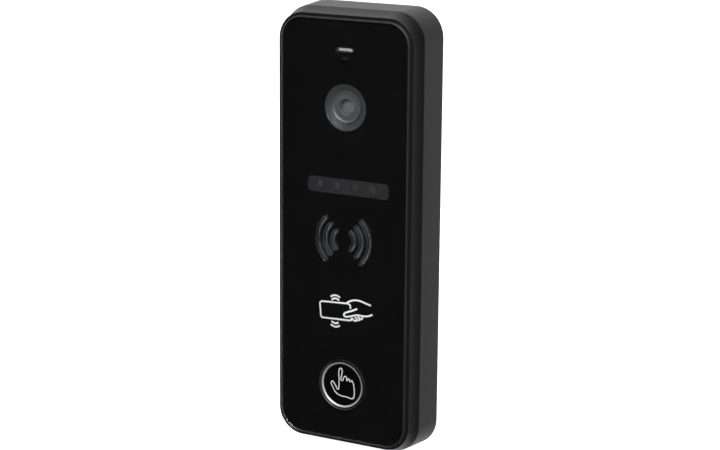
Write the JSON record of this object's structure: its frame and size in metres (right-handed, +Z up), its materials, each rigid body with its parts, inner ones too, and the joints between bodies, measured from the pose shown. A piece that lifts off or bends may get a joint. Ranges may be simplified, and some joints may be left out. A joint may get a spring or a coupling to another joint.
{
  "type": "door intercom panel",
  "caption": "Slim upright door intercom panel with a black front plate, camera window, infrared window, speaker slots, card reader and a ringed call button.",
  "frame": {"origin": "centre of the flat face that rests on the wall", "axes": "+Z up along the height, -Y out of the front, +Y into the wall, +X to the right when the front is looked at"},
  "size_m": [0.0534, 0.018, 0.1486],
  "materials": {
    "casing_paint": "fine matt black powder coat on die-cast aluminium",
    "plate_acrylic": "polished clear acrylic with a satin sawn edge",
    "tape": "double-sided foam tape",
    "black_print": "black ink printed on clear film",
    "infrared_acrylic": "dark infrared-pass acrylic",
    "mesh_steel": "woven stainless mesh",
    "clear_acrylic": "clear light pipe",
    "button_acrylic": "polished black acrylic",
    "ring_chrome": "satin chrome",
    "white_nylon": "natural nylon",
    "black_moulding": "moulded nylon",
    "lamp_phosphor": "white lamp phosphor",
    "board_laminate": "solder-masked glass laminate",
    "chip_epoxy": "moulded epoxy",
    "capacitor_can": "bright can with a printed band",
    "trimmer_case": "blue moulding",
    "black_rubber": "soft silicone rubber",
    "sensor_glass": "coated cover glass",
    "barrel_aluminium": "grey anodised turning",
    "lens_glass": "coated lens glass",
    "shroud_moulding": "grey satin moulding",
    "screw_steel": "zinc-plated steel",
    "ribbon_film": "polyimide film",
    "lamp_resin": "dark epoxy lens",
    "speaker_steel": "pressed steel basket",
    "speaker_film": "polyester film",
    "magnet_ferrite": "ferrite with a plated cap",
    "black_foam": "closed-cell foam",
    "coil_copper": "etched copper",
    "cover_moulding": "textured ABS",
    "bracket_zinc": "zinc-plated steel sheet"
  },
  "bodies": {
    "housing": {"casing": "casing_paint", "front_plate": "plate_acrylic", "plate_adhesive": "tape", "plate_film": "black_print", "infrared_filter": "infrared_acrylic", "speaker_mesh": "mesh_steel", "microphone_mesh": "white_nylon", "light_pipes": "clear_acrylic", "switch_body": "black_moulding", "button_lamps": "lamp_phosphor", "main_board": "board_laminate", "main_chip": "chip_epoxy", "small_chips": "chip_epoxy", "capacitors": "capacitor_can", "cable_header": "white_nylon", "volume_trimmer": "trimmer_case", "trimmer_plug": "black_rubber", "camera_board_panel": "board_laminate", "image_sensor": "sensor_glass", "lens_holder": "black_moulding", "lens_barrel": "barrel_aluminium", "front_lens": "lens_glass", "camera_shroud": "shroud_moulding", "camera_screws": "screw_steel", "camera_ribbon": "ribbon_film", "infrared_board": "board_laminate", "infrared_lamps": "lamp_resin", "infrared_baffle": "black_rubber", "speaker_frame": "speaker_steel", "speaker_cone": "speaker_film", "speaker_magnet": "magnet_ferrite", "speaker_gasket": "black_foam", "sensor_board": "board_laminate", "microphone": "screw_steel", "microphone_boot": "black_rubber", "light_sensor": "white_nylon", "reader_board": "board_laminate", "reader_coil": "coil_copper", "rear_cover": "cover_moulding", "cover_seal": "black_foam", "cover_screws": "screw_steel", "board_screws": "screw_steel", "cable_grommet": "black_rubber", "wall_bracket": "bracket_zinc", "lock_screw": "screw_steel"},
    "call_button": {"button_cap": "button_acrylic", "button_ring": "ring_chrome", "button_retainer": "white_nylon"},
    "plunger": {"switch_plunger": "white_nylon"},
    "rotor": {"trimmer_rotor": "white_nylon"}
  },
  "joints": [
    {"name": "button_press", "type": "slide", "parent": "housing", "child": "call_button", "axis": [0, 1, 0], "range_m": [0, 0.0008], "stiffness_N_per_m": 1500},
    {"name": "plunger_press", "type": "slide", "parent": "housing", "child": "plunger", "axis": [0, 1, 0], "range_m": [0, 0.0008]},
    {"name": "volume_turn", "type": "hinge", "parent": "housing", "child": "rotor", "pos_m": [0.012, -0.0058, -0.0437], "axis": [0, 1, 0], "range_deg": [-135, 135]}
  ],
  "couplings": [
    {"joint": "plunger_press", "follows": "button_press", "ratio": 1}
  ]
}
